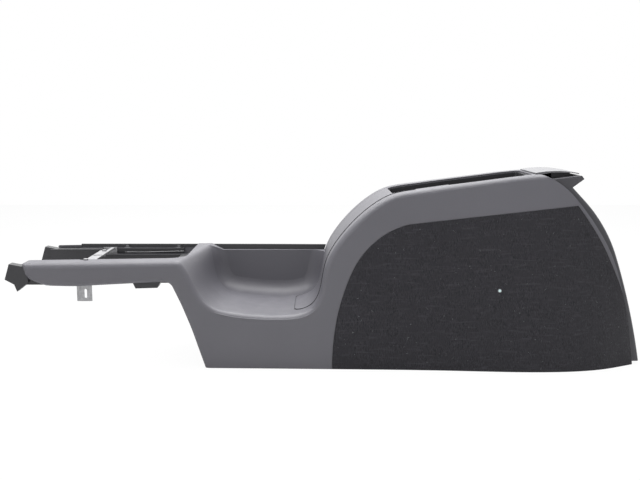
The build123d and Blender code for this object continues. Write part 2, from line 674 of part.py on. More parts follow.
def make_bridge():
    """The steel strap across the arms: a plate with an oval hole and two slotted legs."""
    low_z = BRIDGE_TOP_Z - BRIDGE_SHEET
    half = BRIDGE_WIDTH / 2
    rear_x = BRIDGE_X + half
    tab_half = BRIDGE_TAB_WIDTH / 2
    part = box(BRIDGE_X - half, rear_x, -BRIDGE_LEG_Y, BRIDGE_PLATE_END_Y, low_z, BRIDGE_TOP_Z)
    part += box(rear_x - BRIDGE_NECK, rear_x, BRIDGE_PLATE_END_Y, BRIDGE_LEG_Y, low_z, BRIDGE_TOP_Z)
    part += bridge_leg(-1, 0.0) + bridge_leg(1, 0.0)
    part += box(rear_x - BRIDGE_SHEET, rear_x, BRIDGE_TAB_Y - tab_half, BRIDGE_TAB_Y + tab_half,
                low_z - BRIDGE_TAB_DROP, BRIDGE_TOP_Z)
    oval = extrude(SlotOverall(BRIDGE_OVAL_LENGTH, BRIDGE_OVAL_WIDTH), BRIDGE_SHEET + 2)
    part -= Pos(BRIDGE_X, 0, low_z - 1) * oval
    length = BRIDGE_SLOT_TOP_Z - BRIDGE_SLOT_FOOT_Z
    middle = (BRIDGE_SLOT_TOP_Z + BRIDGE_SLOT_FOOT_Z) / 2
    slot = extrude(SlotOverall(length, BRIDGE_SLOT_WIDTH, rotation=90), FAR_AWAY, both=True)
    part -= Pos(BRIDGE_X + BRIDGE_SLOT_SHIFT, 0, middle) * Rot(90, 0, 0) * slot
    for y in (BRIDGE_SCREW_LEFT_Y, BRIDGE_SCREW_RIGHT_Y):
        part -= vertical_hole(BRIDGE_X, y, SCREW_RADIUS + CLEARANCE, low_z - 5, BRIDGE_TOP_Z + 5)
    return part


def flange_top_z(x):
    """Height of the arms' top face."""
    return ARM_FRONT_Z + ARM_SLOPE * (x - ARM_FRONT_X)


def make_rim_strips():
    """The black strips along the far rim, in front of and behind the crossbar."""
    ring = side_loft(0.0) - side_loft(STRIP_WIDTH)
    front = ring & box(FAR_ARM_RIM_START_X + FIT, CROSSBAR_FRONT_X - FIT, 60, 120, FAR_ARM_RIM_Z, RIM_TOP_Z)
    share = (RIM_TOP_Z - FAR_WALL_Z) / (CROSSBAR_Z - FAR_WALL_Z)
    slope_x = FAR_WALL_START_X + (CROSSBAR_REAR_X - FAR_WALL_START_X) * share
    crest = crest_curve(0.0)
    top_x = (crest @ split_share(crest, RIM_TOP_Z)).X - STRIP_GAP
    foot_x = (crest @ split_share(crest, FAR_WALL_Z)).X - STRIP_GAP
    rear_points = [
        (FAR_WALL_START_X, FAR_WALL_Z), (slope_x, RIM_TOP_Z), (top_x, RIM_TOP_Z), (foot_x, FAR_WALL_Z)]
    rear = ring & polygon_slab(rear_points, 60, 120)
    return front, rear


def make_trim_clip(side):
    """A spring clip folded over a ledge of the carrier: a foot and a raised tongue."""
    clip = Box(CLIP_LENGTH, CLIP_WIDTH, CLIP_SHEET, align=(Align.CENTER, Align.CENTER, Align.MIN))
    tongue = Box(CLIP_LENGTH * 0.5, CLIP_SHEET, CLIP_HEIGHT, align=(Align.CENTER, Align.CENTER, Align.MIN))
    return clip + Pos(0, side * (CLIP_WIDTH - CLIP_SHEET) / 2, 0) * tongue


def make_trim_clips():
    """The four clips that take the lever trim."""
    clips = {}
    for side, name in ((-1, "left"), (1, "right")):
        y = side * (CARRIER_STEP_Y + CARRIER_OUTER_Y) / 2 if side > 0 else side * (CARRIER_INNER_Y + 5.5)
        z = CARRIER_TOP_Z if side > 0 else CARRIER_STEP_Z
        for x, place in zip(CLIP_STATIONS, ("front", "rear")):
            clips[f"trim_clip_{name}_{place}"] = Pos(x, y, z) * make_trim_clip(side)
    return clips


def armrest_frame():
    """The place and slope of the armrest bracket on top of the tongue."""
    rest = point_where(rear_curve(-FIT), lambda point: point.Z > TONGUE_TOP_FRONT[1])
    slope = math.degrees(math.atan2(TONGUE_TOP_REAR[1] - rest.Z, TONGUE_TOP_REAR[0] - rest.X))
    return Pos(rest.X, 0, rest.Z) * Rot(0, -slope, 0)


def make_armrest_bracket():
    """The steel hinge plate of the armrest, screwed down on the tongue, with a cheek at each side."""
    low_x, high_x = ARMREST_PLATE
    top_z = FIT + ARMREST_SHEET
    plate = box(low_x, high_x, -ARMREST_HALF, ARMREST_HALF, FIT, top_z)
    for x, y in armrest_bolt_places():
        plate -= vertical_hole(x, y, SCREW_RADIUS + CLEARANCE, FIT - 1, top_z + 1)
    for side in (-1, 1):
        low_y, high_y = sorted((side * (ARMREST_HALF - ARMREST_SHEET), side * ARMREST_HALF))
        plate += box(low_x, high_x, low_y, high_y, FIT, CAP_RISE + CAP_FOOT)
    cap_under_z = CREST_REAR_Z + FIT + CAP_RISE - CAP_THICKNESS
    under_cap = box(CREST_REAR_X, CAP_REAR_X, -COVER_HALF, COVER_HALF, 0, cap_under_z - FIT)
    return (armrest_frame() * plate) & under_cap


def make_armrest_screws():
    """The four screws of the armrest bracket, as one set."""
    seat = FIT + ARMREST_SHEET + CLEARANCE
    screws = [armrest_frame() * screw(x, y, seat, ARMREST_SHEET) for x, y in armrest_bolt_places()]
    return Compound(screws)


def make_floor_bracket(side):
    """A steel angle inside the side wall, its foot drilled for two bolts to the floor tunnel."""
    half = FLOOR_BRACKET_LENGTH / 2
    low_x, high_x = FLOOR_BRACKET_X - half, FLOOR_BRACKET_X + half
    wall = side_loft(WALL + FIT) - side_loft(WALL + FIT + FLOOR_BRACKET_SHEET)
    low_y, high_y = sorted((side * 60, side * 130))
    part = wall & box(low_x, high_x, low_y, high_y, 0, FLOOR_BRACKET_HEIGHT)
    outer = side_half(FLOOR_BRACKET_X, 0)
    low_y, high_y = sorted((side * (outer - WALL - FLOOR_BRACKET_REACH), side * (outer + 20)))
    part += box(low_x, high_x, low_y, high_y, 0, FLOOR_BRACKET_SHEET) & side_loft(WALL + FIT)
    for x in (-FLOOR_BOLT_PITCH_X / 2, FLOOR_BOLT_PITCH_X / 2):
        part -= vertical_hole(FLOOR_BRACKET_X + x, side * FLOOR_BOLT_PITCH_Y / 2, FLOOR_BOLT_RADIUS, -1, 5)
    return part - floor_screw_hole(side)


def floor_screw_place(side):
    """The place of the screw that holds a floor bracket to the side wall, its Z pointing outwards."""
    inset = WALL + FIT + FLOOR_BRACKET_SHEET + CLEARANCE
    return wall_place(side, FLOOR_BRACKET_X, FLOOR_SCREW_Z, inset)


def floor_screw_hole(side):
    """The hole of a floor bracket's screw, blind in the wall."""
    hole = vertical_hole(0, 0, SCREW_RADIUS + CLEARANCE, -3, FLOOR_SCREW_SHANK + CLEARANCE)
    return floor_screw_place(side) * hole


def make_floor_screw(side):
    """The screw of a floor bracket, driven from inside the console."""
    return floor_screw_place(side) * Rot(180, 0, 0) * screw(0, 0, 0, FLOOR_SCREW_SHANK)


nodes = {}
shell = make_shell()
shell -= vertical_hole(BRIDGE_X, BRIDGE_SCREW_LEFT_Y, SCREW_RADIUS + CLEARANCE, 160, 190)
for place in bin_screw_places():
    shell -= place * bin_screw_hole()
for side in (-1, 1):
    shell -= pin_hole(side)
    shell -= floor_screw_hole(side)
nodes["console_shell"] = shell
nodes["ramp_cover"] = make_ramp_panel()
nodes["left_carpet"], nodes["right_carpet"] = make_carpets()
nodes["rear_cover"] = make_rear_cover()
nodes["hinge_cap"] = make_hinge_cap()
nodes["storage_bin"] = make_bin()
nodes["bin_screws"] = make_bin_screws()
nodes["front_carrier"] = make_carrier()
nodes["bridge_bracket"] = make_bridge()
left_seat = flange_top_z(BRIDGE_X + SCREW_HEAD_RADIUS) + CLEARANCE
nodes["bridge_screw_left"] = screw(BRIDGE_X, BRIDGE_SCREW_LEFT_Y, left_seat, BRIDGE_SCREW_SHANK)
nodes["bridge_screw_right"] = screw(BRIDGE_X, BRIDGE_SCREW_RIGHT_Y, BRIDGE_TOP_Z, BRIDGE_SCREW_SHANK)
nodes["rim_strip_front"], nodes["rim_strip_rear"] = make_rim_strips()
nodes.update(make_trim_clips())
nodes["armrest_bracket"] = make_armrest_bracket()
nodes["armrest_screws"] = make_armrest_screws()
for side, name in ((-1, "left"), (1, "right")):
    nodes[f"{name}_floor_bracket"] = make_floor_bracket(side)
    nodes[f"{name}_floor_screw"] = make_floor_screw(side)
    nodes[f"{name}_carpet_pin"] = make_carpet_pin(side)

front_x = min(x for x, z in HOOK_POINTS)
rear_x = max(x for x, z in COVER_POINTS)
centred = Pos(-(front_x + rear_x) / 2, 0, 0)

os.makedirs("parts", exist_ok=True)
for name, part in nodes.items():
    export_step(centred * part, f"parts/{name}.step")
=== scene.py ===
import math
import random

import bmesh
import bpy
from bpy.props import FloatProperty, FloatVectorProperty, IntProperty, PointerProperty
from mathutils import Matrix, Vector
from mathutils.bvhtree import BVHTree


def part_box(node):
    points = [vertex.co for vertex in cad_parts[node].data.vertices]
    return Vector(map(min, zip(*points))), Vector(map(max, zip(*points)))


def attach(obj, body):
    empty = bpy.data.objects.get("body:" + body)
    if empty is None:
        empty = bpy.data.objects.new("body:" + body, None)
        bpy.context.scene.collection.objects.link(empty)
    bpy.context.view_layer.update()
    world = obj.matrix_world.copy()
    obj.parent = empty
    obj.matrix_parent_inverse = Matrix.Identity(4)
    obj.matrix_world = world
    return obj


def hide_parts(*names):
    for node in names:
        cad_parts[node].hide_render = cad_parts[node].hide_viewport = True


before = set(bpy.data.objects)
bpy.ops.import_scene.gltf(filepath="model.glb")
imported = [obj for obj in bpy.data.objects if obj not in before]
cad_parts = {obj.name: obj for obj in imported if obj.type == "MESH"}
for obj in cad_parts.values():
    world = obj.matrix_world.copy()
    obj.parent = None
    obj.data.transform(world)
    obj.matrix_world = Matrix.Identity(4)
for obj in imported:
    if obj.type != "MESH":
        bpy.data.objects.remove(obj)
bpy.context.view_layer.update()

bl_info = {
    "name": "Car Center Console",
    "version": (1, 0, 0),
    "blender": (4, 5, 0),
    "location": "3D View > Sidebar > Console",
    "description": "Dresses the packed console: grained plastics, felt sides, metalwork and a studio",
    "category": "Object",
}

FELT_LOW, FELT_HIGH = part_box("left_carpet")

# The way that each side of the console faces along Y

OUTWARD = {"left": -1.0, "right": 1.0}

# The photograph's frame in pixels, and lines seen in it as (column, row)

PHOTO_WIDTH, PHOTO_HEIGHT = 640, 480
SENSOR_WIDTH = 36.0
RIM_RIB_PIXELS = (
    (318, 308), (312, 314), (303, 318), (288, 320), (268, 320), (248, 319), (230, 317), (214, 313))
LOW_LEDGE_PIXELS = ((113, 252), (148, 252), (184, 251))
HIGH_LEDGE_PIXELS = ((124, 246), (155, 246), (188, 246.5))

# Thin lines: the pixels between their points, the rounds of smoothing, and the finish of their tubes

LINE_STEP = 4.0
LINE_SMOOTHING = 2
LINE_ROUNDNESS = 2
TUBE_SMOOTH = math.radians(50)

# The distance below which vertices are joined, in CAD meshes and in tubes

CAD_MERGE = 1e-6
TUBE_MERGE = 1e-7

# The ramp panel's seams, drawn as near-black tubes of painted shade in its groove: the groove, the steps
# along it, and how deep each lies as a share of its radius

SEAM_GROOVE = 0.0011
SEAM_STEP = 0.003
SEAM_SUNK = {"left": 0.35, "right": 0.9}

# Normals beside the panel's edge: its wall is upright and faces outward, its skin faces up and forward

WALL_UP_MOST, WALL_OUTWARD_LEAST = 0.02, 0.3
SKIN_ASIDE_MOST, SKIN_UP_LEAST = 0.2, 0.5

# The rim's rib: how deep it lies, as a share of its radius

RIB_SUNK = 0.5

# Felt panels: the angles of its faces and its cut edge, and the segments of that edge

FELT_SMOOTH = math.radians(40)
FELT_CUT = math.radians(50)
FELT_CUT_SEGMENTS = 2

# The felt's rear edge: where it begins, how it faces, and its reach, full below one height and none above

FELT_REAR = FELT_LOW.x + 0.7 * (FELT_HIGH.x - FELT_LOW.x)
FELT_REAR_FACING = 0.5
FELT_REACH = 0.008
FELT_REACH_LOW, FELT_REACH_TOP = 0.09, 0.18
FELT_STEP = 0.0003

# Moulded grain: its warp, finer cells, shares of height, deeper colour for the painted shade in its valleys
# and for its mottle, the mottle's share and uneven gloss, and its dust

GRAIN_WARP = 0.0009
GRAIN_FINER = 2.2
GRAIN_CELLS, GRAIN_FINE = 0.8, 0.35
GRAIN_DEEP = 0.82
GRAIN_MOTTLE = 0.25
GRAIN_UNEVEN = 0.06
DUST_COLOUR = (0.42, 0.42, 0.41, 1.0)

# Felt fibres: the turn and stretch of each layer, and the pale and deep shares of the colour

FIBRE_LAYERS = ((0.4, 0.22), (1.5, 0.25), (2.6, 0.2))
FIBRE_PALE, FIBRE_DEEP = 1.9, 0.45

# Brushed streaks and pale specks in the felt

STREAK_TURN = -0.35
STREAK_STRETCH = (0.1, 1.0, 1.0)
STREAK_STRENGTH, SPECK_STRENGTH = 0.6, 0.6

# Lint: each side's seed, the least distance from the middle plane, and a fibre's half length and bend

LINT_SEED = {"left": 11, "right": 12}
LINT_NEAREST = 0.06
LINT_HALF = (0.25, 0.6)
LINT_BEND = 0.6
LINT_ROUNDNESS = 0

# Steel: the dull share of its colour, its uneven gloss, and the stretch of its fine drawn lines

STEEL_DULL = 0.72
STEEL_UNEVEN = 0.2
STEEL_DRAWN = (1.0, 0.04, 1.0)

# A push pin's soiled rim: its ragged edge and width as shares of the radius, its colour and its roughness

PIN_RAGGED = 0.3
PIN_SOIL_FROM, PIN_SOIL_TO = 0.55, 0.95
PIN_SOIL = 2.0
PIN_ROUGHNESS, PIN_SOIL_ROUGHER = 0.35, 0.4

# The studio: the floor, the camera's range, and each lamp's place, target and width

WHITE = (1.0, 1.0, 1.0, 1.0)
FLOOR_COLOUR = (0.8, 0.8, 0.8, 1.0)
FLOOR_HALF = 2.4
FLOOR_GLOW = 0.95
CAMERA_NEAR, CAMERA_FAR = 0.05, 50.0
LAMPS = {
    "top_lamp": ((-0.1, 0.1, 1.9), (0.0, 0.0, 0.0), 2.6),
    "back_lamp": ((0.0, 1.9, 1.9), (0.0, 0.0, 0.1), 3.0),
    "front_lamp": ((-1.2, -2.0, 1.0), (0.0, 0.0, 0.15), 1.6),
}


# Settings

class ConsoleColours(bpy.types.PropertyGroup):
    """Colours of the console's pieces."""
    shell: FloatVectorProperty(
        name="Shell", description="Grained plastic of the console body", subtype="COLOR",
        size=3, min=0.0, max=1.0, default=(0.100, 0.098, 0.112))
    cover: FloatVectorProperty(
        name="Rear cover", description="Plastic of the cover behind the bin", subtype="COLOR",
        size=3, min=0.0, max=1.0, default=(0.050, 0.049, 0.056))
    black: FloatVectorProperty(
        name="Black plastic", description="Carrier, rim strips and bin, and the coating of the brackets",
        subtype="COLOR", size=3, min=0.0, max=1.0, default=(0.020, 0.020, 0.023))
    cap: FloatVectorProperty(
        name="Hinge cap", description="Rubbed plastic of the cap behind the bin", subtype="COLOR",
        size=3, min=0.0, max=1.0, default=(0.17, 0.17, 0.18))
    # The ledges' pale colour is a painted highlight: it stands in for the light caught on the edges of the
    # ledges inside the far rail
    ledge: FloatVectorProperty(
        name="Ledges", description="Rubbed plastic of the ledges inside the far rail", subtype="COLOR",
        size=3, min=0.0, max=1.0, default=(0.22, 0.22, 0.23))
    # The seam's near-black colour is painted shade: it stands for the shadow in the gap beside the ramp panel
    gap: FloatVectorProperty(
        name="Seam", description="Shaded gap beside the ramp panel", subtype="COLOR",
        size=3, min=0.0, max=1.0, default=(0.006, 0.006, 0.007))
    felt: FloatVectorProperty(
        name="Felt", description="Needle felt on the sides", subtype="COLOR",
        size=3, min=0.0, max=1.0, default=(0.0225, 0.0218, 0.0260))
    lint: FloatVectorProperty(
        name="Lint", description="Fibres caught in the felt", subtype="COLOR",
        size=3, min=0.0, max=1.0, default=(0.17, 0.17, 0.18))
    zinc: FloatVectorProperty(
        name="Zinc", description="Plated steel of the strap and the screws", subtype="COLOR",
        size=3, min=0.0, max=1.0, default=(0.37, 0.37, 0.38))
    spring: FloatVectorProperty(
        name="Spring steel", description="Darker steel of the trim clips", subtype="COLOR",
        size=3, min=0.0, max=1.0, default=(0.20, 0.20, 0.21))
    pin: FloatVectorProperty(
        name="Push pin", description="Pale plastic of the felt's push pins", subtype="COLOR",
        size=3, min=0.0, max=1.0, default=(0.60, 0.72, 0.73))


class ConsoleSizes(bpy.types.PropertyGroup):
    """Sizes of the surface detail and of the small pieces."""
    grain_cell: FloatProperty(
        name="Grain cell", description="Width of one cell of the moulded grain", unit="LENGTH",
        min=0.0002, max=0.005, default=0.0009, precision=5)
    grain_depth: FloatProperty(
        name="Grain depth", description="Depth of the moulded grain", unit="LENGTH",
        min=0.0, max=0.001, default=0.00008, precision=6)
    felt_fibre: FloatProperty(
        name="Felt fibre", description="Spacing of the felt's fibres", unit="LENGTH",
        min=0.0002, max=0.01, default=0.0012, precision=5)
    felt_edge: FloatProperty(
        name="Felt edge", description="Rounding of the felt's cut edge", unit="LENGTH",
        min=0.0, max=0.003, default=0.0007, precision=5)
    lint_count: IntProperty(
        name="Lint fibres", description="Fibres on each felt panel", min=1, max=400, default=90)
    lint_length: FloatProperty(
        name="Lint length", description="Length of a fibre", unit="LENGTH",
        min=0.001, max=0.03, default=0.0035, precision=4)
    lint_radius: FloatProperty(
        name="Lint thickness", description="Radius of a fibre", unit="LENGTH",
        min=0.00002, max=0.001, default=0.00010, precision=5)
    # The seam line is a tube coloured with painted shade along the gap beside the ramp panel
    seam_radius: FloatProperty(
        name="Seam line", description="Radius of the dark line beside the ramp panel", unit="LENGTH",
        min=0.0001, max=0.003, default=0.0013, precision=5)
    rib_radius: FloatProperty(
        name="Rim rib", description="Radius of the fine rib below the tray's rim", unit="LENGTH",
        min=0.0001, max=0.003, default=0.0014, precision=5)
    ledge_radius: FloatProperty(
        name="Rail ledge", description="Radius of the fine ledges inside the far rail", unit="LENGTH",
        min=0.0001, max=0.003, default=0.0008, precision=5)


class StudioSettings(bpy.types.PropertyGroup):
    """The camera and the light."""
    lens: FloatProperty(
        name="Lens", description="Focal length", unit="CAMERA", min=10.0, max=300.0, default=46.24)
    distance: FloatProperty(
        name="Camera distance", description="From the camera to the console's middle plane",
        unit="LENGTH", min=0.5, max=5.0, default=1.382)
    height: FloatProperty(
        name="Camera height", description="Camera above the floor", unit="LENGTH",
        min=0.0, max=3.0, default=0.406)
    pitch: FloatProperty(
        name="Camera pitch", description="Downward tilt of the camera", subtype="ANGLE",
        min=-1.5, max=1.5, default=math.radians(8.58))
    side: FloatProperty(
        name="Camera place", description="Camera's place along the console", unit="LENGTH",
        min=-1.0, max=1.0, default=-0.01265)
    world: FloatProperty(
        name="Room light", description="Strength of the even light of the room",
        min=0.0, max=2.0, default=0.12)
    top: FloatProperty(
        name="Top lamp", description="Power of the wide lamp overhead", unit="POWER",
        min=0.0, max=200.0, default=110.0)
    back: FloatProperty(
        name="Back lamp", description="Power of the lamp above and behind the console", unit="POWER",
        min=0.0, max=200.0, default=22.0)
    front: FloatProperty(
        name="Front lamp", description="Power of the lamp beside the camera", unit="POWER",
        min=0.0, max=200.0, default=6.0)


# Shader helpers

def new_group(name, inputs, outputs):
    """A node group with named sockets, with its input and output nodes."""
    group = bpy.data.node_groups.new(name, "ShaderNodeTree")
    for label, kind, default in inputs:
        socket = group.interface.new_socket(name=label, in_out="INPUT", socket_type=kind)
        if default is not None:
            socket.default_value = default
    for label, kind in outputs:
        group.interface.new_socket(name=label, in_out="OUTPUT", socket_type=kind)
    return group, group.nodes.new("NodeGroupInput"), group.nodes.new("NodeGroupOutput")


def new_material(name):
    """A material, its node tree and its shader."""
    material = bpy.data.materials.new(name)
    material.use_nodes = True
    return material, material.node_tree, material.node_tree.nodes["Principled BSDF"]


def node(tree, kind, links=(), **values):
    """A shader node with its properties set and its inputs linked or filled."""
    made = tree.nodes.new(kind)
    for key, value in values.items():
        setattr(made, key, value)
    for socket, source in dict(links).items():
        if hasattr(source, "links"):
            tree.links.new(source, made.inputs[socket])
        else:
            made.inputs[socket].default_value = source
    return made


def feed(made, socket, source):
    """Links a source to a socket of a node that exists."""
    made.id_data.links.new(source, made.inputs[socket])


def object_place(tree):
    """The place on the piece, in the frame that all pieces share."""
    return node(tree, "ShaderNodeTexCoord").outputs["Object"]


def mapped(tree, place, turn, stretch):
    """The place turned about Y and stretched along the axes."""
    links = {"Vector": place, "Rotation": (0.0, turn, 0.0), "Scale": stretch}
    return node(tree, "ShaderNodeMapping", links).outputs[0]


def noise(tree, place, scale, detail, roughness=0.5):
    """The grey value of a noise."""
    links = {"Vector": place, "Scale": scale, "Detail": detail, "Roughness": roughness}
    return node(tree, "ShaderNodeTexNoise", links).outputs["Fac"]


def math_node(tree, operation, first, second):
    """A Math node."""
    return node(tree, "ShaderNodeMath", {0: first, 1: second}, operation=operation).outputs[0]


def plus(tree, first, second):
    """The sum of two values."""
    return math_node(tree, "ADD", first, second)


def times(tree, first, second):
    """The product of two values."""
    return math_node(tree, "MULTIPLY", first, second)


def greater(tree, first, second):
    """The greater of two values."""
    return math_node(tree, "MAXIMUM", first, second)


def ramp(tree, source, low, high):
    """The source stretched so that low is 0 and high is 1, clamped."""
    return node(tree, "ShaderNodeMapRange", {0: source, 1: low, 2: high, 3: 0.0, 4: 1.0}).outputs[0]


def blend(tree, factor, first, second):
    """A mix of two colours."""
    return node(tree, "ShaderNodeMix", {0: factor, 6: first, 7: second}, data_type="RGBA").outputs[2]


def rgba(colour, share=1.0):
    """A colour with its alpha, made paler or deeper by a share."""
    return (*(min(1.0, value * share) for value in colour), 1.0)


def relief(shader, height, distance, strength=1.0):
    """Bumps on the shader's surface."""
    links = {"Strength": strength, "Distance": distance, "Height": height}
    feed(shader, "Normal", node(shader.id_data, "ShaderNodeBump", links).outputs["Normal"])


# Materials

def grain_group():
    """Moulded leather-like grain: a colour darker in its valleys as painted shade, its height and a broad
    mottle.
    """
    name = "moulded_grain"
    if name in bpy.data.node_groups:
        return bpy.data.node_groups[name]
    group, start, end = new_group(
        name,
        [("Vector", "NodeSocketVector", None), ("Cell", "NodeSocketFloat", 0.001),
         ("Color", "NodeSocketColor", None), ("Shade", "NodeSocketFloat", 0.15)],
        [("Color", "NodeSocketColor"), ("Height", "NodeSocketFloat"), ("Mottle", "NodeSocketFloat")])
    place, colour = start.outputs["Vector"], start.outputs["Color"]
    scale = math_node(group, "DIVIDE", 1.0, start.outputs["Cell"])
    warp = node(group, "ShaderNodeTexNoise", {"Vector": place, "Scale": 420.0, "Detail": 2.0})
    links = {0: warp.outputs["Color"], "Scale": GRAIN_WARP}
    shift = node(group, "ShaderNodeVectorMath", links, operation="SCALE").outputs[0]
    moved = node(group, "ShaderNodeVectorMath", {0: place, 1: shift}, operation="ADD").outputs[0]
    cells = node(group, "ShaderNodeTexVoronoi", {"Vector": moved, "Scale": scale}, feature="SMOOTH_F1")
    fine = noise(group, place, scale=times(group, scale, GRAIN_FINER), detail=3.0)
    coarse = times(group, cells.outputs["Distance"], GRAIN_CELLS)
    height = plus(group, coarse, times(group, fine, GRAIN_FINE))
    mottle = ramp(group, noise(group, place, scale=9.0, detail=4.0), low=0.35, high=0.68)
    dark = node(group, "ShaderNodeHueSaturation", {"Value": GRAIN_DEEP, "Color": colour}).outputs[0]
    # The darker colour in the grain's valleys is painted shade; the mottle added to it is the plastic's own
    # uneven tone
    painted_valley_shade = times(group, ramp(group, height, low=0.65, high=0.25), start.outputs["Shade"])
    shade = plus(group, painted_valley_shade, times(group, mottle, GRAIN_MOTTLE))
    feed(end, "Color", blend(group, shade, colour, dark))
    feed(end, "Height", height)
    feed(end, "Mottle", mottle)
    return group


def dust_group():
    """Pale dust that lies in patches on faces that look up: a mask."""
    name = "settled_dust"
    if name in bpy.data.node_groups:
        return bpy.data.node_groups[name]
    group, start, end = new_group(
        name,
        [("Vector", "NodeSocketVector", None), ("Normal", "NodeSocketVector", None),
         ("Amount", "NodeSocketFloat", 0.1)],
        [("Mask", "NodeSocketFloat")])
    up = node(group, "ShaderNodeSeparateXYZ", {0: start.outputs["Normal"]}).outputs["Z"]
    patch = ramp(group, noise(group, start.outputs["Vector"], scale=60.0, detail=6.0), low=0.4, high=0.7)
    mask = times(group, ramp(group, up, low=0.3, high=1.0), patch)
    feed(end, "Mask", times(group, mask, start.outputs["Amount"]))
    return group


def plastic(name, colour, sizes, roughness, shade, dust, cell=1.0, depth=1.0, specular=0.5):
    """A grained moulded plastic; cell and depth are shares of the console's own grain."""
    material, tree, shader = new_material(name)
    place = object_place(tree)
    facing = node(tree, "ShaderNodeNewGeometry").outputs["True Normal"]
    # The grain's shade is the strength of the painted shade in its valleys
    grain_links = {"Vector": place, "Cell": sizes.grain_cell * cell, "Color": rgba(colour), "Shade": shade}
    grain = node(tree, "ShaderNodeGroup", grain_links, node_tree=grain_group())
    dust_links = {"Vector": place, "Normal": facing, "Amount": dust}
    mask = node(tree, "ShaderNodeGroup", dust_links, node_tree=dust_group()).outputs["Mask"]
    feed(shader, "Base Color", blend(tree, mask, grain.outputs["Color"], DUST_COLOUR))
    feed(shader, "Roughness", plus(tree, times(tree, grain.outputs["Mottle"], GRAIN_UNEVEN), roughness))
    relief(shader, grain.outputs["Height"], sizes.grain_depth * depth)
    shader.inputs["Specular IOR Level"].default_value = specular
    return material


def felt(name, colour, lint, fibre):
    """Needle felt: crossed fibres, clumps, brushed streaks and small pale specks of lint."""
    material, tree, shader = new_material(name)
    place = object_place(tree)
    turned = [mapped(tree, place, turn, (1.0, 1.0, stretch)) for turn, stretch in FIBRE_LAYERS]
    layers = [noise(tree, layer, scale=1.0 / fibre, detail=3.0, roughness=0.6) for layer in turned]
    height = greater(tree, greater(tree, layers[0], layers[1]), layers[2])
    clump = ramp(tree, noise(tree, place, scale=55.0, detail=5.0), low=0.4, high=0.75)
    pale = rgba(colour, FIBRE_PALE)
    fibres = blend(tree, ramp(tree, height, low=0.45, high=0.75), rgba(colour, FIBRE_DEEP), pale)
    clumped = blend(tree, clump, fibres, rgba(colour))
    brushed = noise(tree, mapped(tree, place, STREAK_TURN, STREAK_STRETCH), scale=300.0, detail=3.0)
    streak = ramp(tree, brushed, low=0.56, high=0.74)
    streaked = blend(tree, times(tree, streak, STREAK_STRENGTH), clumped, pale)
    spots = node(tree, "ShaderNodeTexVoronoi", {"Vector": place, "Scale": 150.0})
    spot = ramp(tree, spots.outputs["Distance"], low=0.16, high=0.06)
    chance = node(tree, "ShaderNodeSeparateXYZ", {0: spots.outputs["Color"]}).outputs["X"]
    speck = times(tree, spot, ramp(tree, chance, low=0.9, high=0.97))
    feed(shader, "Base Color", blend(tree, times(tree, speck, SPECK_STRENGTH), streaked, rgba(lint)))
    shader.inputs["Roughness"].default_value = 0.95
    shader.inputs["Specular IOR Level"].default_value = 0.15
    shader.inputs["Sheen Weight"].default_value = 0.12
    shader.inputs["Sheen Roughness"].default_value = 0.6
    relief(shader, height, distance=0.0005)
    return material


def plated(name, colour, roughness, metallic=1.0):
    """Plated or coated steel with faint clouds and fine drawn lines."""
    material, tree, shader = new_material(name)
    place = object_place(tree)
    cloud = noise(tree, place, scale=240.0, detail=4.0)
    lines = noise(tree, mapped(tree, place, 0.0, STEEL_DRAWN), scale=2500.0, detail=2.0)
    patch = ramp(tree, cloud, low=0.35, high=0.7)
    feed(shader, "Base Color", blend(tree, patch, rgba(colour), rgba(colour, STEEL_DULL)))
    feed(shader, "Roughness", plus(tree, times(tree, cloud, STEEL_UNEVEN), roughness))
    shader.inputs["Metallic"].default_value = metallic
    relief(shader, lines, distance=0.00003, strength=0.4)
    return material


def pin_head(name, colour, soil, node_name):
    """Pale plastic with felt dust packed round the rim of the push pin's head."""
    material, tree, shader = new_material(name)
    low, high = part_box(node_name)
    middle, radius = (low + high) / 2, (high.x - low.x) / 2
    place = object_place(tree)
    flat = node(tree, "ShaderNodeVectorMath", {0: place, 1: (1.0, 0.0, 1.0)}, operation="MULTIPLY").outputs[0]
    away = node(tree, "ShaderNodeVectorMath", {0: flat, 1: (middle.x, 0.0, middle.z)},
                operation="DISTANCE").outputs["Value"]
    cloud = noise(tree, place, scale=900.0, detail=3.0)
    rim = plus(tree, away, times(tree, cloud, radius * PIN_RAGGED))
    packed = ramp(tree, rim, low=radius * PIN_SOIL_FROM, high=radius * PIN_SOIL_TO)
    feed(shader, "Base Color", blend(tree, packed, rgba(colour), rgba(soil, PIN_SOIL)))
    feed(shader, "Roughness", plus(tree, times(tree, packed, PIN_SOIL_ROUGHER), PIN_ROUGHNESS))
    relief(shader, cloud, distance=0.0001, strength=0.5)
    return material


# Mesh helpers

def dress(name, material):
    """Gives a CAD node one material."""
    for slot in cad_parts[name].material_slots:
        slot.link = "OBJECT"
        slot.material = material


def piece(name, mesh, material, slot, *stands_for):
    """An object of a finished bmesh that rides on the console, and stands for CAD nodes if any are named."""
    data = bpy.data.meshes.new(name)
    mesh.to_mesh(data)
    mesh.free()
    data.materials.append(material)
    made = bpy.data.objects.new(name, data)
    bpy.context.scene.collection.objects.link(made)
    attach(made, "root")
    if stands_for:
        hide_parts(*stands_for)
    return made


def merged_copy(name):
    """A CAD node's mesh as a bmesh with its loose triangles joined."""
    mesh = bmesh.new()
    mesh.from_mesh(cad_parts[name].data)
    bmesh.ops.remove_doubles(mesh, verts=mesh.verts, dist=CAD_MERGE)
    return mesh


def shade_smooth(made, angle):
    """Smooth shading with edges sharper than the angle kept."""
    made.data.shade_smooth()
    made.data.set_sharp_from_angle(angle=angle)


def surface_of(*names):
    """The faces of CAD nodes as one tree for finding points on them."""
    mesh = bmesh.new()
    for name in names:
        mesh.from_mesh(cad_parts[name].data)
    tree = BVHTree.FromBMesh(mesh)
    mesh.free()
    return tree


